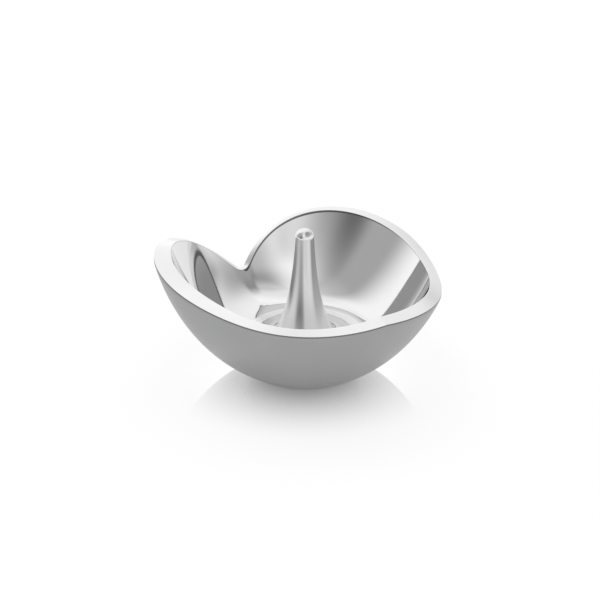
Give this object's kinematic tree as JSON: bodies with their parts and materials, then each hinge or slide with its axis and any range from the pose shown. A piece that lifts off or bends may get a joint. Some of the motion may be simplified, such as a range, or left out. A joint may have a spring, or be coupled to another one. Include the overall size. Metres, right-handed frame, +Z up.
{
  "type": "ring dish",
  "caption": "Heart-shaped ring dish: a thick polished cast-metal bowl with a sloping satin rim and a tall flared post in its middle for finger rings.",
  "frame": {"origin": "on the table, under the post's axis, at the centre of the base pad's underside", "axes": "+Z up along the post, -Y towards the heart's tip, +Y towards its notch, +X to the right seen from above with the tip towards the viewer"},
  "size_m": [0.0915, 0.0924, 0.0513],
  "materials": {
    "cast_metal": "satin outside and rim, mirror polished inside",
    "polished_metal": "mirror polished",
    "screw_steel": "plain zinc-bright steel",
    "pad_felt": "dense felt"
  },
  "bodies": {
    "root": {"bowl": "cast_metal", "ring_post": "polished_metal", "fixing_screw": "screw_steel", "washer": "screw_steel", "base_pad": "pad_felt"}
  },
  "joints": []
}
